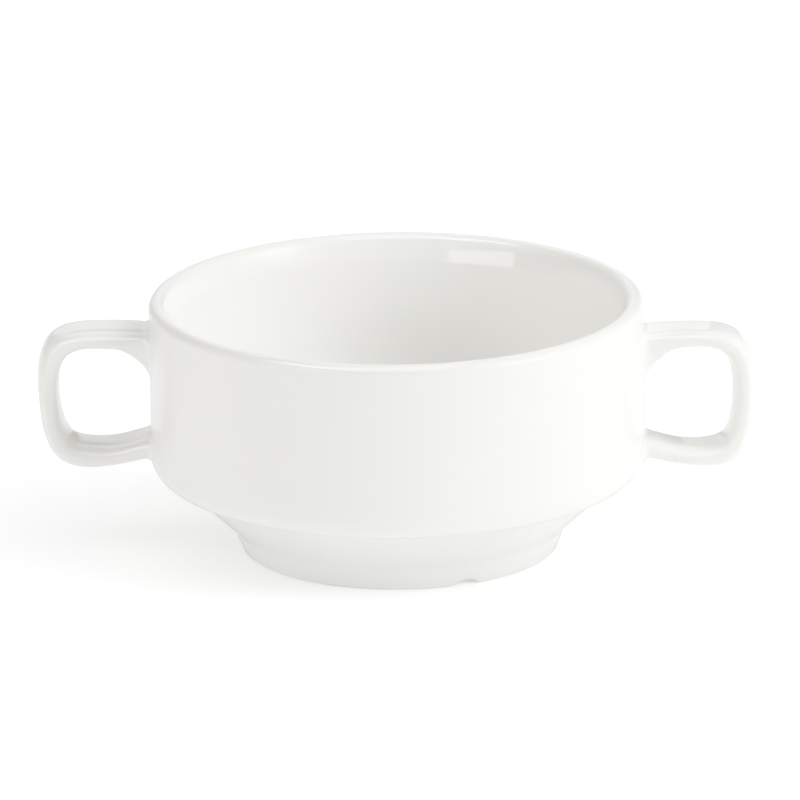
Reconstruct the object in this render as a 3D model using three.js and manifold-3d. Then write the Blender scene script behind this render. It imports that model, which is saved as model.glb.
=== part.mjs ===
// Two-handled stacking soup cup in white glazed porcelain.
// Millimetres, +Z up. The origin is on the cup's axis at the plane it stands on,
// +X points to the right-hand handle, -Y to the front of the cup.

import * as THREE from 'three';
import { mergeVertices } from 'three/addons/utils/BufferGeometryUtils.js';
import Module from 'manifold-3d';

// ---------------------------------------------------------------- dimensions
// Cup body, all radii from the cup's axis
const HEIGHT = 56.8;               // standing plane to the top of the lip
const RIM_RADIUS = 55.0;           // outside of the lip
const LIP_ROUND = 2.0;             // radius of the rolled lip
const WALL_FOOT_RADIUS = 55.16;    // outside of the wall at its lower end
const WALL_BOTTOM = 16.9;          // lowest point of the rounded lower corner
const CORNER_ROUND = 4.9;          // radius of that corner
const FLARE_TOP = [48.6, 16.1];    // stacking flare, upper end (radius, height)
const FLARE_BOTTOM = [37.25, 5.4]; // stacking flare, lower end, on the foot band
const FOOT_RADIUS = 35.25;         // outside of the foot ring at the base
const FOOT_EDGE = 0.4;             // rounding of the foot ring's edges
const FOOT_FACE_INNER = 32.5;      // inside of the flat standing face
const FOOT_FACE_OUTER = 34.85;     // outside of the flat standing face
const RECESS_RADIUS = 31.0;        // recess under the base, where its roof begins
const RECESS_DEPTH = 2.5;          // recess depth at its edge
const RECESS_CROWN = 0.3;          // extra depth in the middle
const FLOOR_HEIGHT = 7.0;          // inside floor above the standing plane
const BOWL_ROUND = 27.5;           // inside radius between floor and wall
const INNER_WALL_LOW = 48.5;       // inside of the wall where that radius ends
const INNER_LEAN = 4.4;            // lean of that wall, degrees, taken up by the radius
const BAND_RADIUS = 49.8;          // inside of the wall under the lip band
const BAND_BOTTOM = 50.8;          // lower end of the tapered band inside the lip
const SEGMENTS = 64;               // facets around the body

// Drain notches in the foot ring
const NOTCH_ANGLES = [24.3, 144.3, 264.3]; // degrees from the front, to the right
const NOTCH_OUTLINE = [            // across the notch, height above the base
  [-4.0, -0.8], [-4.0, 0.0], [-2.9, 0.24], [-1.5, 0.78], [-0.2, 1.1],
  [1.1, 1.15], [2.1, 0.95], [2.7, 0.42], [3.0, 0.0], [3.0, -0.8],
];

// Handles: centreline stations outward, height, strap thickness; from the upper
// root round to the lower root
const HANDLE_STATIONS = [
  [56.00, 48.17, 5.15], [63.51, 48.28, 4.46],
  [70.22, 48.03, 4.31], [74.87, 46.09, 5.32], [76.98, 41.29, 5.06],
  [77.15, 34.24, 4.55], [76.14, 27.11, 4.83], [73.48, 22.53, 5.52],
  [68.79, 21.10, 5.19], [62.40, 21.38, 4.59], [56.00, 22.93, 4.80],
];
const HANDLE_WIDTH = 14.0;         // strap width, front to back
const HANDLE_EDGE_DEPTH = 4.4;     // length of the rounded edge across the width
const HANDLE_EDGE_INSET = 1.85;    // how far that edge draws in
const GUSSET_START = 61.0;         // where the upper strap thickens to the wall
const GUSSET_SOFT = 1.1;           // softness of that start
const GUSSET_SLOPE = 0.96;         // slope of the thickening
const GUSSET_END = 56.0;           // where it stops thickening, at the root
const ROOT_TAIL = 3.4;             // straight length inside the root, trimmed off
const HANDLE_PIVOT = 36.0;         // height about which each handle is set
// each handle was set on by hand: lean (degrees about X), lift, stand-off
const LEFT_SETTING = { lean: 1.5, lift: 0.6, out: 0.3 };
const RIGHT_SETTING = { lean: -1.5, lift: -0.6, out: -0.05 };

// Luting-slip joints between wall and handle roots
const JOINT_GAP = 0.3;             // clearance on each side of a joint
const JOINT_THICKNESS = 1.3;       // slip between wall and handle root
const JOINT_BEAD = 1.3;            // how far the squeezed-out bead stands proud
const JOINT_INNER = WALL_FOOT_RADIUS + JOINT_GAP;
const JOINT_OUTER = JOINT_INNER + JOINT_THICKNESS;
const HANDLE_ROOT = JOINT_OUTER + JOINT_GAP;
const UPPER_ROOT = { low: 41.2, high: 50.75 };   // strap section at the upper root
const LOWER_ROOT = { low: 20.45, high: 25.35 };  // strap section at the lower root

// ------------------------------------------------------------------ solids
const wasm = await Module();
wasm.setup();

function solid(geometry, matrix) {
  let g = geometry.clone();
  if (matrix) g.applyMatrix4(matrix);
  g.deleteAttribute('normal');
  g.deleteAttribute('uv');
  g = mergeVertices(g, 1e-4);
  return new wasm.Manifold(new wasm.Mesh({
    numProp: 3,
    vertProperties: new Float32Array(g.attributes.position.array),
    triVerts: new Uint32Array(g.index.array),
  }));
}

function geometryOf(body) {
  const m = body.getMesh();
  const g = new THREE.BufferGeometry();
  g.setAttribute('position', new THREE.BufferAttribute(new Float32Array(m.vertProperties), 3));
  g.setIndex(new THREE.BufferAttribute(new Uint32Array(m.triVerts), 1));
  g.computeVertexNormals();
  return g;
}

// A revolved solid about +Z from (radius, height) points
function revolve(points, segments = SEGMENTS) {
  const g = new THREE.LatheGeometry(points.map(([r, z]) => new THREE.Vector2(r, z)), segments);
  g.rotateX(Math.PI / 2);
  return g;
}

function arc(cx, cz, r, from, to, steps) {
  const out = [];
  for (let i = 0; i <= steps; i++) {
    const a = THREE.MathUtils.degToRad(from + (to - from) * i / steps);
    out.push([cx + r * Math.cos(a), cz + r * Math.sin(a)]);
  }
  return out;
}

// -------------------------------------------------------------------- body
// Profile from the middle of the recess under the base, out over the foot ring,
// up the outside, over the lip and down the inside to the middle of the floor.
function bodyProfile() {
  const lipR = RIM_RADIUS - LIP_ROUND;
  const lipZ = HEIGHT - LIP_ROUND;
  // tapered band inside the lip: the line from its lower end that touches the lip
  const dx = lipR - BAND_RADIUS, dz = lipZ - BAND_BOTTOM;
  const taper = Math.atan2(dx, dz) - Math.asin(LIP_ROUND / Math.hypot(dx, dz));
  const lipEnd = 180 - THREE.MathUtils.radToDeg(taper);
  return [
    [0, RECESS_DEPTH + RECESS_CROWN],
    [RECESS_RADIUS * 0.6, RECESS_DEPTH + RECESS_CROWN * 0.6],
    [RECESS_RADIUS, RECESS_DEPTH],
    [RECESS_RADIUS + 0.75, RECESS_DEPTH - 0.65],
    [FOOT_FACE_INNER - 0.3, FOOT_EDGE],
    [FOOT_FACE_INNER, 0],
    [FOOT_FACE_OUTER, 0],
    [FOOT_RADIUS - 0.02, FOOT_EDGE * 0.45],
    [FOOT_RADIUS + 0.16, FOOT_EDGE + 0.4],
    [FLARE_BOTTOM[0] - 0.14, FLARE_BOTTOM[1] - 0.55],
    [FLARE_BOTTOM[0] + 0.28, FLARE_BOTTOM[1] + 0.45],
    [FLARE_TOP[0] - 0.6, FLARE_TOP[1] - 0.55],
    ...arc(WALL_FOOT_RADIUS - CORNER_ROUND, WALL_BOTTOM + CORNER_ROUND, CORNER_ROUND, -92, 0, 7),
    ...arc(lipR, lipZ, LIP_ROUND, 0, 90, 4),
    ...arc(lipR, lipZ, LIP_ROUND, 90, lipEnd, 4).slice(1),
    [BAND_RADIUS, BAND_BOTTOM],
    ...arc(INNER_WALL_LOW - BOWL_ROUND, FLOOR_HEIGHT + BOWL_ROUND, BOWL_ROUND, -INNER_LEAN, -90, 9),
    [0, FLOOR_HEIGHT],
  ];
}

function notchCutter(angle) {
  const shape = new THREE.Shape(NOTCH_OUTLINE.map(([x, z]) => new THREE.Vector2(x, z)));
  const length = 9;
  const g = new THREE.ExtrudeGeometry(shape, { depth: length, bevelEnabled: false });
  g.rotateX(Math.PI / 2);                       // outline upright, run along -Y
  g.translate(0, -(FOOT_RADIUS - 5.5), 0);
  g.rotateZ(THREE.MathUtils.degToRad(angle));
  return g;
}

function bodyGeometry() {
  let body = solid(revolve(bodyProfile()));
  for (const angle of NOTCH_ANGLES) body = body.subtract(solid(notchCutter(angle)));
  return geometryOf(body);
}

// ----------------------------------------------------------------- handles
// Side outline of the strap: outer edge from the upper root to the lower root,
// then the inner edge back, thickened under the upper strap by the gusset.
function handleOutline() {
  const centre = new THREE.SplineCurve(HANDLE_STATIONS.map(([x, z]) => new THREE.Vector2(x, z)));
  const gauge = new THREE.SplineCurve(HANDLE_STATIONS.map(([, , t], i) => new THREE.Vector2(i, t)));
  const steps = 34;
  const outer = [], inner = [];
  for (let i = 0; i <= steps; i++) {
    const u = i / steps;
    const p = centre.getPoint(u), d = centre.getTangent(u), t = gauge.getPoint(u).y / 2;
    const n = new THREE.Vector2(-d.y, d.x);
    const a = p.clone().addScaledVector(n, t), b = p.clone().addScaledVector(n, -t);
    if (p.y > HANDLE_PIVOT) {
      const x = Math.max(b.x, GUSSET_END);
      b.y -= GUSSET_SLOPE * GUSSET_SOFT * Math.log1p(Math.exp((GUSSET_START - x) / GUSSET_SOFT));
    }
    if (i === 0) { outer.push(new THREE.Vector2(a.x - ROOT_TAIL, a.y)); inner.push(new THREE.Vector2(b.x - ROOT_TAIL, b.y)); }
    outer.push(a);
    inner.push(b);
    if (i === steps) { outer.push(a.clone().addScaledVector(d, ROOT_TAIL)); inner.push(b.clone().addScaledVector(d, ROOT_TAIL)); }
  }
  return [...outer, ...inner.reverse()];
}

function handleGeometry() {
  const g = new THREE.ExtrudeGeometry(new THREE.Shape(handleOutline()), {
    depth: HANDLE_WIDTH - 2 * HANDLE_EDGE_DEPTH,
    bevelEnabled: true,
    bevelThickness: HANDLE_EDGE_DEPTH,
    bevelSize: HANDLE_EDGE_INSET,
    bevelOffset: -HANDLE_EDGE_INSET,
    bevelSegments: 3,
    curveSegments: 1,
  });
  g.rotateX(Math.PI / 2);                       // side outline into the X-Z plane
  g.translate(0, (HANDLE_WIDTH - 2 * HANDLE_EDGE_DEPTH) / 2, 0);
  g.translate(0, 0, -HANDLE_PIVOT);
  return g;
}

// Slip joint: the root's section, run from the wall to the handle, with a bead
// that swells towards the wall.
function jointGeometry({ low, high }) {
  const a = HANDLE_WIDTH / 2, b = (high - low) / 2, n = 2.7;
  const outline = [];
  for (let i = 0; i < 24; i++) {
    const s = Math.sin(i / 24 * 2 * Math.PI), c = Math.cos(i / 24 * 2 * Math.PI);
    outline.push(new THREE.Vector2(
      a * Math.sign(c) * Math.abs(c) ** (2 / n), b * Math.sign(s) * Math.abs(s) ** (2 / n)));
  }
  const from = JOINT_INNER - 1.2, to = JOINT_OUTER + 0.6;
  const g = new THREE.ExtrudeGeometry(new THREE.Shape(outline), {
    depth: to - from, steps: 6, bevelEnabled: false,
  });
  const p = g.attributes.position;
  for (let i = 0; i < p.count; i++) {
    const u = THREE.MathUtils.clamp((JOINT_OUTER - from - p.getZ(i)) / (JOINT_THICKNESS + 0.5), 0, 1);
    const swell = JOINT_BEAD * u * u;
    p.setX(i, p.getX(i) * (1 + swell / a));
    p.setY(i, p.getY(i) * (1 + swell / b));
  }
  g.rotateX(Math.PI / 2);                       // section upright
  g.rotateZ(Math.PI / 2);                       // run along +X
  g.translate(from, 0, (low + high) / 2 - HANDLE_PIVOT);
  return g;
}

const glaze = () => new THREE.MeshStandardMaterial({ color: 0xf1f1ec, roughness: 0.12, metalness: 0.0 });
const slip = () => new THREE.MeshStandardMaterial({ color: 0xeeeee8, roughness: 0.16, metalness: 0.0 });

function named(name, geometry, material) {
  const mesh = new THREE.Mesh(geometry, material);
  mesh.name = name;
  return mesh;
}

// A handle with its two joints, set on the wall in its own group
function handleSet(side, setting) {
  const group = new THREE.Group();
  const sign = side === 'left' ? -1 : 1;
  group.position.set(sign * setting.out, 0, HANDLE_PIVOT + setting.lift);
  group.rotation.set(THREE.MathUtils.degToRad(setting.lean), 0, side === 'left' ? Math.PI : 0);
  group.updateMatrix();
  const toGroup = group.matrix.clone().invert();
  const cylinder = (r) => {
    const g = revolve([[0, -10], [r, -10], [r, HEIGHT + 20], [0, HEIGHT + 20]], 96);
    return solid(g, toGroup);
  };
  const rootBore = cylinder(HANDLE_ROOT), jointWall = cylinder(JOINT_INNER), jointEnd = cylinder(JOINT_OUTER);

  group.add(named(`handle_${side}`, geometryOf(solid(handleGeometry()).subtract(rootBore)), glaze()));
  for (const [place, root] of [['upper', UPPER_ROOT], ['lower', LOWER_ROOT]]) {
    const bead = solid(jointGeometry(root)).intersect(jointEnd).subtract(jointWall);
    group.add(named(`slip_joint_${side}_${place}`, geometryOf(bead), slip()));
  }
  return group;
}

// ---------------------------------------------------------------- assembly
const soupCup = new THREE.Group();
soupCup.name = 'soup_cup';
soupCup.add(named('cup_body', bodyGeometry(), glaze()));
soupCup.add(handleSet('left', LEFT_SETTING));
soupCup.add(handleSet('right', RIGHT_SETTING));

export default soupCup;
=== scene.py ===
import math

import bpy
import numpy as np
from mathutils import Matrix, Vector


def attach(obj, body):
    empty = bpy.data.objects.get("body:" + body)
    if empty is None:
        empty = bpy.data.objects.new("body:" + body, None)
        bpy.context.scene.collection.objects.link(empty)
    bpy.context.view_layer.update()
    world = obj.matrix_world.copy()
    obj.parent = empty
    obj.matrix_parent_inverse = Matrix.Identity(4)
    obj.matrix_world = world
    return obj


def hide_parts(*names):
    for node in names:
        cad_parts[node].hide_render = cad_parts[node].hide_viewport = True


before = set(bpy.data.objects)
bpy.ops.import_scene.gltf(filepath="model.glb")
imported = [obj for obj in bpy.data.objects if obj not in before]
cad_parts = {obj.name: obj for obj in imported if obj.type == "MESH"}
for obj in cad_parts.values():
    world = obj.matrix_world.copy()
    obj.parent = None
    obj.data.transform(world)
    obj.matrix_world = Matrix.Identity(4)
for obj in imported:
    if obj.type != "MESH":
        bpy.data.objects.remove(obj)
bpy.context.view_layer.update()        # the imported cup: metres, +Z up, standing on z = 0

MM = 0.001

# ---------------------------------------------------------------- dimensions
# millimetres, as in the construction of the cup
HEIGHT = 56.8
RIM_RADIUS = 55.0
LIP_ROUND = 2.0
WALL_FOOT_RADIUS = 55.16
WALL_BOTTOM = 16.9
CORNER_ROUND = 4.9
CORNER_Z = WALL_BOTTOM + CORNER_ROUND
LIP_R, LIP_Z = RIM_RADIUS - LIP_ROUND, HEIGHT - LIP_ROUND
BAND_RADIUS, BAND_BOTTOM = 49.8, 50.8
INNER_WALL_LOW = 48.5
FLOOR_HEIGHT = 7.0
BOWL_ROUND = 27.5
NOTCH_ANGLES = (24.3, 144.3, 264.3)
NOTCH_LINE = ((-4.4, 0.0), (-3.9, 0.03), (-2.9, 0.26), (-1.5, 0.78), (-0.2, 1.1),
              (1.1, 1.15), (2.0, 0.97), (2.6, 0.48), (3.0, 0.08), (3.3, 0.0))
HANDLE_STATIONS = (
    (56.00, 48.17, 5.15), (63.51, 48.28, 4.46), (70.22, 48.03, 4.31), (74.87, 46.09, 5.32),
    (76.98, 41.29, 5.06), (77.15, 34.24, 4.55), (76.14, 27.11, 4.83), (73.48, 22.53, 5.52),
    (68.79, 21.10, 5.19), (62.40, 21.38, 4.59), (56.00, 22.93, 4.80))
HANDLE_WIDTH = 14.0
GUSSET_SOFT, GUSSET_SLOPE = 1.1, 0.96
HANDLE_PIVOT = 36.0
SETTINGS = {"left": (1.5, 0.6, 0.3), "right": (-1.5, -0.6, -0.05)}   # lean, lift, stand-off
# how each handle came out by hand: where its gusset begins, how far its upper root is fettled down
# and over what length, how much its lower strap is thinner, its upright thicker and its lower inside
# corner sharper than the mould's
FETTLED = {"left": (60.2, 0.80, 4.5, 0.0, 0.0, 0.15), "right": (61.2, 1.1, 6.0, 0.33, 0.42, 0.0)}
ROOT_RADIUS = 56.9            # where the strap ends and its slip joint begins


# ------------------------------------------------------------------- helpers
def turned_line(corners, step=7.0):
    """A dense (radius, height) line through corners, each rounded to its own radius."""
    out = []
    for i, (x, z, radius) in enumerate(corners):
        p = np.array((x, z), float)
        if radius <= 0 or i in (0, len(corners) - 1):
            out.append(p)
            continue
        a = np.array(corners[i - 1][:2], float) - p
        b = np.array(corners[i + 1][:2], float) - p
        a, b = a / np.linalg.norm(a), b / np.linalg.norm(b)
        half = 0.5 * math.acos(max(-1.0, min(1.0, float(a @ b))))
        reach = radius / math.tan(half)
        mid = a + b
        centre = p + mid / np.linalg.norm(mid) * radius / math.sin(half)
        s, e = p + a * reach - centre, p + b * reach - centre
        a0, a1 = math.atan2(s[1], s[0]), math.atan2(e[1], e[0])
        sweep = (a1 - a0 + math.pi) % (2 * math.pi) - math.pi
        n = max(3, math.ceil(abs(math.degrees(sweep)) / step))
        for k in range(n + 1):
            t = a0 + sweep * k / n
            out.append(centre + radius * np.array((math.cos(t), math.sin(t))))
    return out


def arc(cx, cz, r, a0, a1, n):
    t = np.radians(np.linspace(a0, a1, n + 1))
    return [np.array((cx + r * math.cos(k), cz + r * math.sin(k))) for k in t]


def filled_in(points, longest):
    """The same line with no stretch longer than a given length."""
    out = [points[0]]
    for p in points[1:]:
        d = float(np.linalg.norm(p - out[-1]))
        if d < 1e-6:
            continue
        n = max(1, math.ceil(d / longest))
        q = out[-1]
        out += [q + (p - q) * k / n for k in range(1, n + 1)]
    return np.array(out)


def smooth(values, sigma):
    """Gaussian smoothing along the first axis, mirrored through the end points."""
    n = int(math.ceil(3 * sigma))
    k = np.exp(-0.5 * (np.arange(-n, n + 1) / sigma) ** 2)
    k /= k.sum()
    v = np.asarray(values, float)
    v = v.reshape(len(v), -1)
    pad = np.concatenate([2 * v[:1] - v[n:0:-1], v, 2 * v[-1:] - v[-2:-n - 2:-1]])
    out = np.stack([np.convolve(pad[:, c], k, "valid") for c in range(v.shape[1])], 1)
    return out.reshape(np.shape(values))


def wobble(angle, z):
    """How far the fired wall lies inside the true circle, in millimetres."""
    a = np.asarray(angle, float)
    up = np.clip(np.asarray(z, float) / HEIGHT, 0, 1)
    w = 0.5 + 0.28 * np.sin(2 * a + 0.7) + 0.15 * np.sin(3 * a + 2.1) + 0.07 * np.sin(5 * a + 0.4)
    return 0.05 * w * up


def wall_at(z):
    """Radius and normal (outward, up) of the outside wall at a height, down round its lower corner."""
    z = np.asarray(z, float)
    slope = (RIM_RADIUS - WALL_FOOT_RADIUS) / (LIP_Z - CORNER_Z)
    s = np.clip((CORNER_Z - z) / CORNER_ROUND, 0, 0.97)
    c = np.sqrt(1 - s * s)
    low = z < CORNER_Z
    r = np.where(low, WALL_FOOT_RADIUS - CORNER_ROUND + CORNER_ROUND * c,
                 WALL_FOOT_RADIUS + slope * (z - CORNER_Z))
    return r, np.where(low, c, 1.0), np.where(low, -s, -slope)


def fired(points):
    """The slight lean and ovalness that the cup took in the kiln; the foot stays flat."""
    p = np.array(points, float)
    up = np.clip(p[..., 2] / HEIGHT, 0, 1)
    p[..., 0] += (0.20 - 0.40 * up) + np.clip(p[..., 0] / 55.0, -1, 1) * (0.06 - 0.20 * up)
    return p


def unit(v):
    return v / np.maximum(np.linalg.norm(v, axis=-1, keepdims=True), 1e-12)


def grid_normals(P, closed_cols=True):
    """Vertex normals of a grid of points: rows along, columns around."""
    du = np.gradient(P, axis=0)
    if closed_cols:
        dv = (np.roll(P, -1, 1) - np.roll(P, 1, 1)) / 2
    else:
        dv = np.gradient(P, axis=1)
    return unit(np.cross(du, dv))


def new_piece(name, verts, faces, normals=None, attributes=None):
    """A mesh object in metres from millimetre points, smooth, with its own corner normals where given."""
    me = bpy.data.meshes.new(name)
    me.from_pydata([tuple(float(c) * MM for c in v) for v in fired(verts)], [], faces)
    me.update()
    for key, values in (attributes or {}).items():
        layer = me.attributes.new(key, "FLOAT", "POINT")
        layer.data.foreach_set("value", np.asarray(values, np.float32))
    me.polygons.foreach_set("use_smooth", np.ones(len(me.polygons), bool))
    if normals is not None:
        me.normals_split_custom_set([tuple(map(float, n)) for n in normals])
    ob = bpy.data.objects.new(name, me)
    bpy.context.scene.collection.objects.link(ob)
    return ob


# ---------------------------------------------------------------------- body
def body_profile():
    """Outline of half the body, from under the middle of the base to the middle of the inside floor."""
    under = turned_line([
        (0.0, 2.8, 0), (18.6, 2.69, 60.0), (31.05, 2.5, 1.5), (32.36, 0.0, 0.55), (35.16, 0.0, 0.5),
        (37.22, 5.35, 5.0), (48.95, 16.42, 5.0), (50.6, WALL_BOTTOM, 0)])
    corner = arc(WALL_FOOT_RADIUS - CORNER_ROUND, CORNER_Z, CORNER_ROUND, -88, 0, 22)
    # inside the lip a slightly swollen band runs down to a soft edge, and the wall below it stands upright
    top_lean, low_lean = math.radians(20.6), math.radians(10.4)
    lip = arc(LIP_R, LIP_Z, LIP_ROUND, 0, 90, 16) + arc(LIP_R, LIP_Z, LIP_ROUND, 90, 180 - 20.6, 14)[1:]
    start, stop = lip[-1], np.array((BAND_RADIUS, BAND_BOTTOM))
    run = float(np.linalg.norm(stop - start))
    band = []
    for t in np.linspace(0, 1, 13):
        h = (2 * t**3 - 3 * t**2 + 1, t**3 - 2 * t**2 + t, 3 * t**2 - 2 * t**3, t**3 - t**2)
        band.append(h[0] * start + h[1] * run * np.array((-math.sin(top_lean), -math.cos(top_lean)))
                    + h[2] * stop + h[3] * run * np.array((-math.sin(low_lean), -math.cos(low_lean))))
    lean = math.atan2(BAND_RADIUS - INNER_WALL_LOW, BAND_BOTTOM - FLOOR_HEIGHT - BOWL_ROUND)
    bowl = arc(INNER_WALL_LOW - BOWL_ROUND, FLOOR_HEIGHT + BOWL_ROUND, BOWL_ROUND,
               -math.degrees(lean), -90, 40)
    edge = turned_line([tuple(band[-2]) + (0,), (BAND_RADIUS, BAND_BOTTOM, 4.0), tuple(bowl[0]) + (0,)], 1.5)
    edge = band[1:-2] + edge
    line = under[:-1] + corner + lip + edge[:-1] + bowl + [np.array((0.0, FLOOR_HEIGHT))]
    return filled_in(line, 2.2)


def notch_height(t):
    x, y = zip(*NOTCH_LINE)
    fine = np.linspace(x[0] - 1, x[-1] + 1, 240)
    h = smooth(np.interp(fine, x, y), 7.0)
    return np.interp(t, fine, np.maximum(h, 0), left=0, right=0)


def make_body():
    line = body_profile()
    # columns: even round the cup, close together across each notch
    fine = []
    for a in NOTCH_ANGLES:
        fine += list(np.radians(a) + np.radians(np.linspace(-9.0, 7.6, 48)))
    even = [t for t in np.linspace(0, 2 * math.pi, 288, endpoint=False)
            if all(not -9.6 < ((math.degrees(t) - a + 180) % 360 - 180) < 8.2 for a in NOTCH_ANGLES)]
    angles = np.array(sorted([t % (2 * math.pi) for t in fine] + even))
    rows, cols = len(line), len(angles)
    r = np.repeat(line[:, :1], cols, 1)
    z = np.repeat(line[:, 1:], cols, 1)
    a = np.repeat(angles[None], rows, 0)
    r = r - wobble(a, z) * np.clip(r / 30.0, 0, 1)
    # drain notches lift the lower part of the foot ring
    lift = np.zeros_like(r)
    for n in NOTCH_ANGLES:
        off = (a - math.radians(n) + math.pi) % (2 * math.pi) - math.pi
        near = np.abs(off) < 0.4
        lift = np.where(near, np.maximum(lift, notch_height(r * np.sin(off))), lift)
    foot = (r > 30.6) & (r < 36.8) & (z < 2.4)
    scoop = 0.22 + 0.78 * np.clip((r - 32.6) / 2.3, 0, 1)
    z = np.where(foot, z + lift * scoop * (1 - z / 2.4), z)
    x, y = r * np.sin(a), -r * np.cos(a)
    P = np.stack([x, y, z], -1)

    # one middle point at each end of the line
    inner = P[1:-1].reshape(-1, 3)
    verts = np.concatenate([inner, [[0, 0, line[0, 1]], [0, 0, line[-1, 1]]]])
    n = rows - 2
    lo, hi = n * cols, n * cols + 1
    faces = []
    for i in range(n - 1):
        for j in range(cols):
            k = (j + 1) % cols
            faces.append((i * cols + j, i * cols + k, (i + 1) * cols + k, (i + 1) * cols + j))
    for j in range(cols):
        k = (j + 1) % cols
        faces.append((lo, k, j))
        faces.append((hi, (n - 1) * cols + j, (n - 1) * cols + k))

    # where glaze runs thin over edges and gathers in hollows, from the outline's bend
    d = np.gradient(line, axis=0)
    ang = np.unwrap(np.arctan2(d[:, 1], d[:, 0]))
    s = np.concatenate([[0], np.cumsum(np.linalg.norm(np.diff(line, axis=0), axis=1))])
    even_s = np.arange(0, s[-1], 0.1)
    bend = np.gradient(smooth(np.interp(even_s, s, ang), 6.0), 0.1)
    bend = np.interp(s, even_s, bend)
    thin = np.clip(bend / 0.5, 0, 1)
    pool = np.clip(-bend / 0.35, 0, 1)
    bare = np.clip((0.28 - line[:, 1]) / 0.16, 0, 1) * (line[:, 0] > 31.5) * (line[:, 0] < 36)
    spread = lambda v: np.concatenate([np.repeat(v[1:-1], cols), [v[0], v[-1]]])
    attributes = {"glaze_thin": spread(thin), "glaze_pool": spread(pool), "bare": spread(bare)}
    return new_piece("body_shell", verts, faces, None, attributes)


# ------------------------------------------------------------------- handles
def spline(points, per=60):
    """The curve through the stations, with matched slopes at each of them."""
    p = np.array(points, float)
    out = []
    for i in range(len(p) - 1):
        p0, p1, p2, p3 = p[max(i - 1, 0)], p[i], p[i + 1], p[min(i + 2, len(p) - 1)]
        v0, v1 = (p2 - p0) / 2, (p3 - p1) / 2
        t = np.linspace(0, 1, per, endpoint=(i == len(p) - 2))[:, None]
        out.append((2 * p1 - 2 * p2 + v0 + v1) * t**3 + (-3 * p1 + 3 * p2 - 2 * v0 - v1) * t**2 + v0 * t + p1)
    return np.concatenate(out)


def strap_section(count=80, flat=2.9, under=2.6):
    """Points round the strap's section: across -1 to 1, and outer face +1 to inner face -1."""
    t = np.linspace(0, 2 * math.pi, 2001)[:-1]
    c, s = np.cos(t), np.sin(t)
    n = np.where(c > 0, flat, under)
    across = np.sign(s) * np.abs(s) ** (2 / n)
    face = np.sign(c) * np.abs(c) ** (2 / n)
    p = np.stack([across * HANDLE_WIDTH / 2, face * 2.35], 1)
    step = np.linalg.norm(np.roll(p, -1, 0) - p, axis=1)
    turn = np.arctan2(*(np.roll(p, -1, 0) - p).T[::-1])
    bend = np.abs((np.roll(turn, -1) - turn + math.pi) % (2 * math.pi) - math.pi)
    weight = step / step.sum() + 1.2 * bend / bend.sum()
    at = np.concatenate([[0], np.cumsum(weight)])
    pick = np.linspace(0, at[-1], count, endpoint=False)
    i = np.interp(pick, at, np.arange(len(at)))
    idx = np.arange(len(t) + 1)
    across = np.interp(i, idx, np.append(across, across[0]))
    face = np.interp(i, idx, np.append(face, face[0]))
    sharp = np.interp(i, idx, np.append(bend, bend[0]))
    return across, face, sharp / sharp.max()


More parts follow.
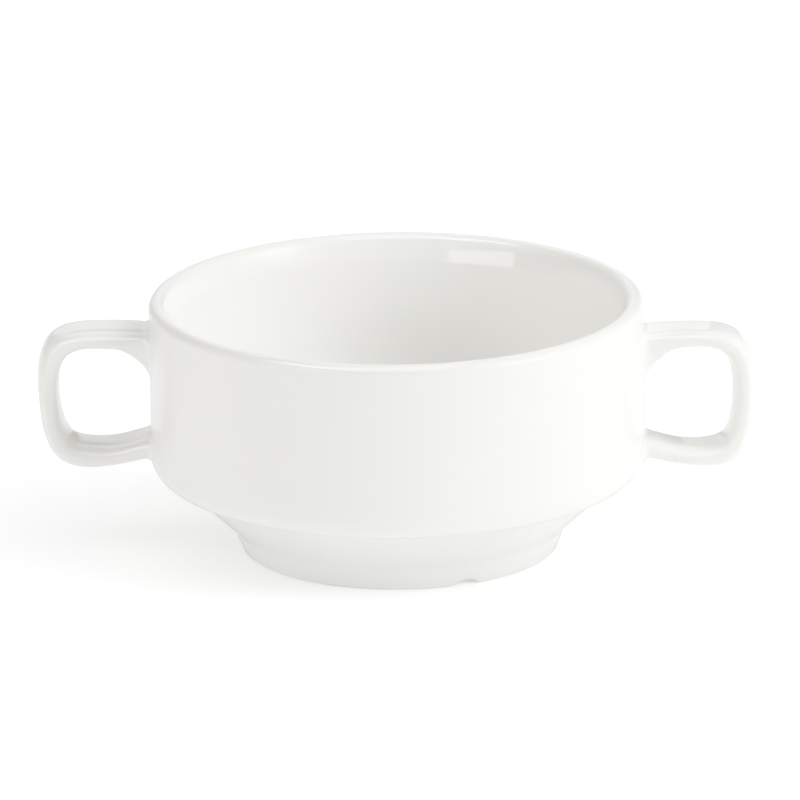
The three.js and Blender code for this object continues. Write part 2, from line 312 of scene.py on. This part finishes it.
def make_handle(side):
    """The strap and its two slip joints as one smooth skin, then cut into the three pieces."""
    raw = spline(HANDLE_STATIONS)
    # even steps along the centreline, then eased so that it bends evenly
    s = np.concatenate([[0], np.cumsum(np.linalg.norm(np.diff(raw[:, :2], axis=0), axis=1))])
    even = np.linspace(0, s[-1], 600)
    path = np.stack([np.interp(even, s, raw[:, k]) for k in range(3)], 1)
    path = smooth(path, 1.3 / (even[1] - even[0]))
    d = unit(np.gradient(path[:, :2], axis=0))
    # straight tails reach past both roots
    tail = 4.0
    ends = [path[0] - np.append(d[0] * tail * k, 0) for k in (1.0, 0.75, 0.5, 0.25)]
    ends2 = [path[-1] + np.append(d[-1] * tail * k, 0) for k in (0.25, 0.5, 0.75, 1.0)]
    path = np.concatenate([ends, path, ends2])
    d = unit(np.gradient(path[:, :2], axis=0))
    across, face, sharp = strap_section()
    half = path[:, 2:3] / 2
    normal = np.stack([-d[:, 1], d[:, 0]], 1)
    begin, down, over, low, wide, corner = FETTLED[side]
    bent = np.exp(-((path[:, :1] - 73.6) ** 2 + (path[:, 1:2] - 22.6) ** 2) / 2.4 ** 2)
    off = half * face[None] + corner * bent * np.clip(-face[None], 0, 1)
    X = path[:, :1] + normal[:, :1] * off
    Z = path[:, 1:2] + normal[:, 1:] * off
    upper = path[:, 1:2] > HANDLE_PIVOT
    drop = GUSSET_SLOPE * GUSSET_SOFT * np.log1p(np.exp((begin - np.maximum(X, 54.0)) / GUSSET_SOFT))
    Z = Z - np.where(upper, drop, 0) * np.clip(-face[None], 0, 1)
    outer, inner = np.clip(face[None], 0, 1), np.clip(-face[None], 0, 1)
    Z = Z - np.where(upper, down * np.exp(-(np.maximum(X, 54.0) - 56.0) / over), 0) * outer
    Z = Z + np.where(upper, 0, low * np.clip((74.0 - X) / 6.0, 0, 1)) * outer
    X = X - wide * np.exp(-((path[:, 1:2] - 35.0) / 8.5) ** 4) * np.clip((X - 66.0) / 6.0, 0, 1) * inner
    Y = np.repeat((across * HANDLE_WIDTH / 2)[None], len(path), 0)
    lean, lift, out = SETTINGS[side]
    sign = -1 if side == "left" else 1
    local = np.stack([X * sign, Y * sign, Z - HANDLE_PIVOT], -1)
    c, sn = math.cos(math.radians(lean)), math.sin(math.radians(lean))
    turn = np.array(((1, 0, 0), (0, c, -sn), (0, sn, c)))
    P = local @ turn.T + np.array((sign * out, 0, HANDLE_PIVOT + lift))

    # each line along the strap runs from root to root at one distance from the axis
    radius = np.hypot(P[..., 0], P[..., 1])
    count = P.shape[1]
    mid = len(path) // 2
    rows = 132
    w = np.linspace(0, 1, rows)
    skin = np.zeros((rows, count, 3))
    into = np.zeros((2, count, 3))
    for j in range(count):
        a = np.interp(ROOT_RADIUS, radius[:mid, j], np.arange(mid))
        tailr = radius[mid:, j][::-1]
        b = len(path) - 1 - np.interp(ROOT_RADIUS, tailr, np.arange(len(tailr)))
        at = a + (b - a) * w
        idx = np.arange(len(path))
        for k in range(3):
            skin[:, j, k] = np.interp(at, idx, P[:, j, k])
        for e, q in ((0, a), (1, b)):
            step = -3.0 if e == 0 else 3.0
            for k in range(3):
                into[e, j, k] = np.interp(q + step, idx, P[:, j, k]) - np.interp(q, idx, P[:, j, k])
    into = unit(into)
    N = grid_normals(skin)
    middle = skin[rows // 2].mean(0)
    flip = np.sum(N[rows // 2] * (skin[rows // 2] - middle), 1).mean() < 0
    if flip:
        N = -N

    def fillet(e, top, sides, bottom, steps=12):
        """Rows from a root's end down to the wall, hollow, leaving the strap and meeting the wall smoothly."""
        p0, dirn, n0 = skin[0 if e == 0 else -1], into[e], N[0 if e == 0 else -1]
        n0 = unit(n0 - np.sum(n0 * dirn, 1, keepdims=True) * dirn)
        reach = np.zeros(count)
        for j in range(count):
            t = np.linspace(0, 6, 241)
            q = p0[j] + dirn[j] * t[:, None]
            ang = np.arctan2(q[:, 0], -q[:, 1])
            gap = np.hypot(q[:, 0], q[:, 1]) - (wall_at(q[:, 2])[0] - wobble(ang, q[:, 2]))
            k = int(np.argmax(gap <= 0))
            reach[j] = t[k] if gap[k] <= 0 else 2.0
        hit = p0 + dirn * reach[:, None]

        def on_wall(q):
            ang = np.arctan2(q[:, 0], -q[:, 1])
            for _ in range(6):
                rw, nr, nz = wall_at(q[:, 2])
                n = np.stack([np.sin(ang) * nr, -np.cos(ang) * nr, nz], 1)
                gap = (np.hypot(q[:, 0], q[:, 1]) - (rw - wobble(ang, q[:, 2]))) * nr
                q = q - n * gap[:, None]
                ang = np.arctan2(q[:, 0], -q[:, 1])
            return q, n

        hit, nh = on_wall(hit)
        t0 = unit(n0 - np.sum(n0 * nh, 1, keepdims=True) * nh)
        up, yy = n0[:, 2], n0[:, 1]
        size = sides * yy**2 + np.where(up > 0, top, bottom) * (1 - yy**2)
        p3, n3 = on_wall(hit + t0 * size[:, None])
        t3 = unit(t0 - np.sum(t0 * n3, 1, keepdims=True) * n3)
        k = 0.5523
        p1 = p0 + dirn * (k * reach)[:, None]
        p2 = p3 - t3 * (k * size)[:, None]
        out = []
        for t in np.linspace(0, 1, steps + 1)[1:]:
            out.append((1 - t)**3 * p0 + 3 * t * (1 - t)**2 * p1 + 3 * t * t * (1 - t) * p2 + t**3 * p3)
        out[-1] = p3 - n3 * 0.004
        skirt = p3 + t3 * 0.12 - n3 * 0.12
        back = p3 + t3 * 0.12 - n3 * 1.2
        return np.array(out), np.array([skirt, back]), n3

    fu, bu, nu = fillet(0, 0.75, 1.35, 1.7)
    fl, bl, nl = fillet(1, 0.55, 1.35, 1.7)
    whole = np.concatenate([fu[::-1], skin, fl])
    WN = grid_normals(whole) * (-1 if flip else 1)
    WN[0], WN[-1] = nu, nl
    k0, k1 = len(fu), len(fu) + rows

    def piece(name, R, RN, attributes):
        """A closed skin of rows, each end shut by a fan on its own middle point."""
        m = len(R)
        verts = list(R.reshape(-1, 3)) + [R[0].mean(0), R[-1].mean(0)]
        faces, normals = [], []
        for i in range(m - 1):
            for j in range(count):
                k = (j + 1) % count
                f = [(i, j), (i, k), (i + 1, k), (i + 1, j)]
                if not flip:
                    f = f[::-1]
                faces.append(tuple(x * count + y for x, y in f))
                normals += [RN[x, y] for x, y in f]
        for end, row, side_ in ((m * count, 0, 1), (m * count + 1, m - 1, -1)):
            for j in range(count):
                k = (j + 1) % count
                f = (end, row * count + k, row * count + j)
                if (side_ < 0) == bool(flip):
                    f = f[::-1]
                faces.append(f)
                a, b, c_ = (np.asarray(verts[q]) for q in f)
                fn = np.cross(b - a, c_ - a)
                fn = fn / max(np.linalg.norm(fn), 1e-12)
                normals += [fn] * 3
        attributes = {q: np.concatenate([np.asarray(v, float).ravel(), [0, 0]]) for q, v in attributes.items()}
        return new_piece(name, verts, faces, normals, attributes)

    ones = np.ones((rows, 1))
    strap = piece(f"handle_{side}_strap", skin, WN[k0:k1],
                  {"glaze_thin": ones * sharp[None] * 0.8, "glaze_pool": np.zeros((rows, count)),
                   "bare": np.zeros((rows, count))})
    joints = []
    for place, R, RN in (
            ("upper", np.concatenate([skin[:1], fu, bu]), np.concatenate([WN[k0:k0 + 1], WN[:k0][::-1], nu[None], nu[None]])),
            ("lower", np.concatenate([skin[-1:], fl, bl]), np.concatenate([WN[k1 - 1:k1], WN[k1:], nl[None], nl[None]]))):
        if place == "upper":
            R, RN = R[::-1], RN[::-1]
        hollow = np.sin(np.linspace(0, math.pi, len(R)))[:, None] * np.ones((1, count))
        joints.append(piece(f"slip_fillet_{side}_{place}", R, RN,
                            {"glaze_thin": np.zeros((len(R), count)), "glaze_pool": hollow * 0.8,
                             "bare": np.zeros((len(R), count))}))
    return strap, joints


# ----------------------------------------------------------------- materials
def node(tree, kind, x, y, **values):
    n = tree.nodes.new(kind)
    n.location = (x, y)
    for key, value in values.items():
        if key.startswith("in_"):
            n.inputs[key[3:].replace("_", " ")].default_value = value
        else:
            setattr(n, key, value)
    return n


def glazed(name, body, seed):
    """Clear gloss glaze over white porcelain: faint mottling, glaze thin on edges and gathered in hollows,
    an orange-peel ripple, rare specks, and bare ground body where the piece stands."""
    m = bpy.data.materials.new(name)
    m.use_nodes = True
    t = m.node_tree
    t.nodes.clear()
    out = node(t, "ShaderNodeOutputMaterial", 900, 0)
    bsdf = node(t, "ShaderNodeBsdfPrincipled", 600, 0)
    bsdf.inputs["IOR"].default_value = 1.52
    bsdf.inputs["Metallic"].default_value = 0.0
    t.links.new(bsdf.outputs[0], out.inputs[0])
    where = node(t, "ShaderNodeTexCoord", -1400, 0)
    shift = node(t, "ShaderNodeMapping", -1200, 0)
    shift.inputs["Location"].default_value = (0.137 * seed, 0.071 * seed, 0.053 * seed)
    t.links.new(where.outputs["Object"], shift.inputs["Vector"])
    at = shift.outputs["Vector"]

    def noise(scale, detail, rough, x, y):
        n = node(t, "ShaderNodeTexNoise", x, y)
        n.inputs["Scale"].default_value = scale
        n.inputs["Detail"].default_value = detail
        n.inputs["Roughness"].default_value = rough
        t.links.new(at, n.inputs["Vector"])
        return n.outputs[0]

    def mixed(kind, factor, a, b, x, y):
        n = node(t, "ShaderNodeMix", x, y, data_type="RGBA", blend_type=kind)
        for value, socket in ((factor, n.inputs[0]), (a, n.inputs[6]), (b, n.inputs[7])):
            if isinstance(value, (int, float)):
                socket.default_value = value
            elif isinstance(value, tuple):
                socket.default_value = (*value, 1.0)
            else:
                t.links.new(value, socket)
        return n.outputs[2]

    def math_(op, a, b, x, y, clamp=False):
        n = node(t, "ShaderNodeMath", x, y, operation=op, use_clamp=clamp)
        for value, socket in ((a, n.inputs[0]), (b, n.inputs[1])):
            if isinstance(value, (int, float)):
                socket.default_value = value
            else:
                t.links.new(value, socket)
        return n.outputs[0]

    def ramp(value, lo, hi, to_lo, to_hi, x, y):
        n = node(t, "ShaderNodeMapRange", x, y)
        n.interpolation_type = "SMOOTHSTEP"
        for socket, v in zip(("From Min", "From Max", "To Min", "To Max"), (lo, hi, to_lo, to_hi)):
            n.inputs[socket].default_value = v
        t.links.new(value, n.inputs["Value"])
        return n.outputs["Result"]

    def attribute(key, x, y):
        return node(t, "ShaderNodeAttribute", x, y, attribute_name=key).outputs["Fac"]

    thin, pool, bare = (attribute(k, -1200, -300 - 180 * i) for i, k in enumerate(("glaze_thin", "glaze_pool", "bare")))

    # colour
    mottle = ramp(noise(38.0, 4.0, 0.55, -900, 500), 0.32, 0.68, 0.0, 1.0, -700, 500)
    warm = tuple(c * k for c, k in zip(body, (1.0, 0.994, 0.982)))
    cool = tuple(c * k for c, k in zip(body, (0.990, 0.998, 0.996)))
    colour = mixed("MIX", mottle, cool, warm, -450, 500)
    colour = mixed("MIX", math_("MULTIPLY", thin, 0.35, -700, 300), colour,
                   tuple(c * k for c, k in zip(body, (1.006, 0.992, 0.965))), -250, 450)
    colour = mixed("MIX", math_("MULTIPLY", pool, 0.45, -700, 150), colour,
                   tuple(c * k for c, k in zip(body, (0.960, 0.980, 0.972))), -50, 420)
    # rare pin-point specks in the glaze
    cells = node(t, "ShaderNodeTexVoronoi", -900, 850, feature="F1")
    cells.inputs["Scale"].default_value = 85.0
    t.links.new(at, cells.inputs["Vector"])
    dot = ramp(cells.outputs["Distance"], 0.010, 0.020, 1.0, 0.0, -650, 850)
    pick = node(t, "ShaderNodeSeparateColor", -700, 1050)
    t.links.new(cells.outputs["Color"], pick.inputs[0])
    some = math_("GREATER_THAN", pick.outputs[0], 0.93, -500, 1050)
    speck = math_("MULTIPLY", math_("MULTIPLY", dot, some, -300, 900), 0.55, -120, 900)
    colour = mixed("MIX", speck, colour, (0.42, 0.37, 0.30), 120, 450)
    # bare body on the standing face, with a ragged glaze line
    ragged = math_("ADD", bare, math_("MULTIPLY", math_("SUBTRACT", noise(420.0, 3.0, 0.6, -1000, -900), 0.5, -800, -900), 0.9, -640, -900), -480, -800)
    bareness = ramp(ragged, 0.42, 0.62, 0.0, 1.0, -300, -800)
    grain = noise(2600.0, 3.0, 0.65, -900, -1150)
    bisque = mixed("MIX", ramp(grain, 0.35, 0.7, 0.0, 1.0, -650, -1150), (0.66, 0.64, 0.60), (0.78, 0.765, 0.73), -350, -1100)
    colour = mixed("MIX", bareness, colour, bisque, 330, 350)
    t.links.new(colour, bsdf.inputs["Base Color"])

    # gloss
    haze = ramp(noise(70.0, 3.0, 0.6, -900, 150), 0.3, 0.7, 0.045, 0.085, -450, 60)
    haze = math_("ADD", haze, math_("MULTIPLY", thin, 0.03, -450, -80), -250, 40)
    rough = node(t, "ShaderNodeMix", 330, -50, data_type="FLOAT")
    t.links.new(bareness, rough.inputs[0])
    t.links.new(haze, rough.inputs[2])
    t.links.new(ramp(grain, 0.3, 0.7, 0.62, 0.85, -350, -1300), rough.inputs[3])
    t.links.new(rough.outputs[0], bsdf.inputs["Roughness"])

    # surface: long soft ripple, fine orange peel, grain where bare
    ripple = node(t, "ShaderNodeBump", -100, -300)
    ripple.inputs["Strength"].default_value = 1.0
    ripple.inputs["Distance"].default_value = 0.000045
    t.links.new(noise(55.0, 1.0, 0.4, -500, -300), ripple.inputs["Height"])
    peel = node(t, "ShaderNodeBump", 100, -350)
    peel.inputs["Strength"].default_value = 1.0
    peel.inputs["Distance"].default_value = 0.0000045
    t.links.new(noise(520.0, 2.0, 0.5, -500, -500), peel.inputs["Height"])
    t.links.new(ripple.outputs[0], peel.inputs["Normal"])
    gritty = node(t, "ShaderNodeBump", 300, -400)
    gritty.inputs["Distance"].default_value = 0.00003
    t.links.new(bareness, gritty.inputs["Strength"])
    t.links.new(grain, gritty.inputs["Height"])
    t.links.new(peel.outputs[0], gritty.inputs["Normal"])
    t.links.new(gritty.outputs[0], bsdf.inputs["Normal"])
    return m


PORCELAIN = (0.82, 0.806, 0.758)
mat_body = glazed("glaze_on_body", PORCELAIN, 1)
mat_handle = glazed("glaze_on_handle", PORCELAIN, 2)
mat_slip = glazed("glaze_on_slip", tuple(c * 0.995 for c in PORCELAIN), 3)

# -------------------------------------------------------------------- pieces
body = make_body()
body.data.materials.append(mat_body)
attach(body, "root")
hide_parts("cup_body")
for side in ("left", "right"):
    strap, joints = make_handle(side)
    strap.data.materials.append(mat_handle)
    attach(strap, "root")
    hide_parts(f"handle_{side}")
    for place, joint in zip(("upper", "lower"), joints):
        joint.data.materials.append(mat_slip)
        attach(joint, "root")
        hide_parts(f"slip_joint_{side}_{place}")

# --------------------------------------------------------------------- stage
floor_mesh = bpy.data.meshes.new("floor")
floor_mesh.from_pydata([(-6, -6, -0.00003), (6, -6, -0.00003), (6, 6, -0.00003), (-6, 6, -0.00003)], [], [(0, 1, 2, 3)])
floor = bpy.data.objects.new("floor", floor_mesh)
bpy.context.scene.collection.objects.link(floor)
white = bpy.data.materials.new("floor_white")
white.use_nodes = True
p = white.node_tree.nodes["Principled BSDF"]
p.inputs["Base Color"].default_value = (0.93, 0.93, 0.93, 1)
p.inputs["Roughness"].default_value = 0.9
p.inputs["Specular IOR Level"].default_value = 0.1
# the sweep is plain white to the eye, glows a little from below and sends less light back to the cup
p.inputs["Emission Color"].default_value = (1, 1, 1, 1)
seen = white.node_tree.nodes.new("ShaderNodeLightPath")
shade = white.node_tree.nodes.new("ShaderNodeMix")
shade.data_type = "RGBA"
shade.inputs[6].default_value = (0.78, 0.78, 0.78, 1)
shade.inputs[7].default_value = (0.93, 0.93, 0.93, 1)
white.node_tree.links.new(seen.outputs["Is Camera Ray"], shade.inputs[0])
white.node_tree.links.new(shade.outputs[2], p.inputs["Base Color"])
glow = white.node_tree.nodes.new("ShaderNodeMath")
glow.operation = "MULTIPLY_ADD"
glow.inputs[1].default_value = 0.18
glow.inputs[2].default_value = 0.07
white.node_tree.links.new(seen.outputs["Is Camera Ray"], glow.inputs[0])
white.node_tree.links.new(glow.outputs[0], p.inputs["Emission Strength"])
floor_mesh.materials.append(white)

world = bpy.data.worlds.new("studio")
world.use_nodes = True
bpy.context.scene.world = world
sky = world.node_tree.nodes["Background"]
sky.inputs["Color"].default_value = (1.0, 1.0, 1.0, 1)
sky.inputs["Strength"].default_value = 0.028


def softbox(name, side, height, wide, tall, glow, distance=2.0, colour=(1, 1, 1), aim=(0, 0, 0.03)):
    """A rectangular lamp: degrees to the right of the front, degrees up, its width and height
    in degrees as the cup sees it, and how bright its face is."""
    a, e = math.radians(side), math.radians(height)
    way = Vector((math.sin(a) * math.cos(e), -math.cos(a) * math.cos(e), math.sin(e)))
    lamp = bpy.data.lights.new(name, "AREA")
    lamp.shape = "RECTANGLE"
    lamp.size = 2 * distance * math.tan(math.radians(wide / 2))
    lamp.size_y = 2 * distance * math.tan(math.radians(tall / 2))
    lamp.energy = math.pi * lamp.size * lamp.size_y * glow
    lamp.color = colour
    ob = bpy.data.objects.new(name, lamp)
    ob.location = Vector(aim) + way * distance
    ob.rotation_mode = "QUATERNION"
    ob.rotation_quaternion = (-way).to_track_quat("-Z", "Y")
    ob.visible_camera = False
    bpy.context.scene.collection.objects.link(ob)
    return ob


def studio_lamp(name, side, height, wide, tall, matte, gloss, **more):
    """One lamp, with what it throws on the surfaces and what of it shows in the glaze set apart,
    as flags and screens before the lamps do."""
    if matte:
        lamp = softbox(name, side, height, wide, tall, matte, **more)
        lamp.visible_glossy = False
        lamp.data.cycles.use_multiple_importance_sampling = False    # so it hides no lamp behind it
    if gloss:
        softbox(name + "_in_the_glaze", side, height, wide, tall, gloss, **more).visible_diffuse = False


floor_only = bpy.data.collections.new("floor_only")
floor_only.objects.link(floor)


def floor_lamp(name, side, height, wide, tall, glow, **more):
    """A lamp flagged off the cup: it lights the floor, where the cup throws its shadow."""
    lamp = softbox(name, side, height, wide, tall, glow, **more)
    lamp.visible_glossy = False
    lamp.data.cycles.use_multiple_importance_sampling = False
    lamp.light_linking.receiver_collection = floor_only


COOL, WARM = (0.980, 0.995, 1.025), (1.005, 1.0, 0.990)
studio_lamp("key", 70, 30, 28, 24, 3.78, 0, colour=COOL)
studio_lamp("key_front", 60, 26, 28, 24, 2.55, 0, colour=COOL)
studio_lamp("key_low", 70, 20, 28, 24, 3.27, 0, colour=COOL)
studio_lamp("key_high", 66, 42, 28, 24, 0, 0, colour=COOL)
# in the glaze the key is one large screen, brighter towards its middle
studio_lamp("key_screen", 68, 31, 44, 44, 0, 1.2, colour=COOL)
studio_lamp("key_screen_middle", 65, 25, 24, 18, 0, 1.8, distance=1.94, colour=COOL)
studio_lamp("key_screen_centre", 65, 25, 14, 10, 0, 2.3, distance=1.88, colour=COOL)
studio_lamp("near_high", 90, 54, 36, 32, 3.53, 0, distance=0.45, colour=COOL)
studio_lamp("backdrop_high", 180, 60, 34, 22, 0, 0.56)
studio_lamp("front_high", 0, 62, 34, 22, 0, 3.49, colour=WARM)
studio_lamp("left_high", -60, 58, 34, 22, 0, 6.05, colour=WARM)
studio_lamp("left", -80, 26, 34, 18, 2.78, 1.01, colour=WARM)
studio_lamp("front_left", -45.5, 10.8, 35, 14.5, 3.68, 4.0, colour=WARM)
studio_lamp("front_left_high", -45.5, 30, 35, 16, 0, 1.57, colour=WARM)
studio_lamp("top", 0, 89, 26, 26, 2.0, 3.08)
studio_lamp("backdrop", 180, 18, 30, 30, 1.76, 0)
studio_lamp("backdrop_screen", 187, 14, 26, 22, 0, 0.8)
studio_lamp("backdrop_middle", 180, 40, 40, 14, 0, 1.23)
studio_lamp("backdrop_left", -150, 18, 28, 30, 0, 0.35)
studio_lamp("backdrop_right", 150, 18, 28, 30, 1.91, 0)
floor_lamp("floor_front", 0, 62, 34, 22, 1.71)
floor_lamp("floor_left", -60, 58, 34, 22, 1.72)
floor_lamp("floor_back", 180, 60, 34, 22, 0.66)
floor_lamp("floor_back_right", 150, 18, 28, 30, 1.46)
floor_lamp("floor_near", 45, 32, 36, 32, 1.56, distance=0.45)

# -------------------------------------------------------------------- camera
camera_data = bpy.data.cameras.new("camera")
camera_data.sensor_width = 36.0
camera_data.lens = 8411 * 36.0 / 800
camera_data.clip_start, camera_data.clip_end = 0.05, 30
camera = bpy.data.objects.new("camera", camera_data)
bpy.context.scene.collection.objects.link(camera)
az, el, roll = math.radians(0.35), math.radians(16.88), math.radians(-0.605)
place = Vector((0, 0, 0.030)) + 1.871 * Vector((math.sin(az) * math.cos(el), -math.cos(az) * math.cos(el), math.sin(el)))
look = Vector((0.000482 * math.cos(az), 0.000482 * math.sin(az), 0.03292)) - place
look.normalize()
right = look.cross(Vector((0, 0, 1))).normalized()
above = right.cross(look)
right, above = right * math.cos(roll) + above * math.sin(roll), above * math.cos(roll) - right * math.sin(roll)
camera.matrix_world = Matrix((
    (right.x, above.x, -look.x, place.x), (right.y, above.y, -look.y, place.y),
    (right.z, above.z, -look.z, place.z), (0, 0, 0, 1)))
bpy.context.scene.camera = camera
bpy.context.scene.view_settings.view_transform = "Standard"
bpy.context.scene.view_settings.look = "None"
bpy.context.scene.view_settings.gamma = 2.4
bpy.context.scene.view_settings.exposure = -0.045

bpy.context.view_layer.update()
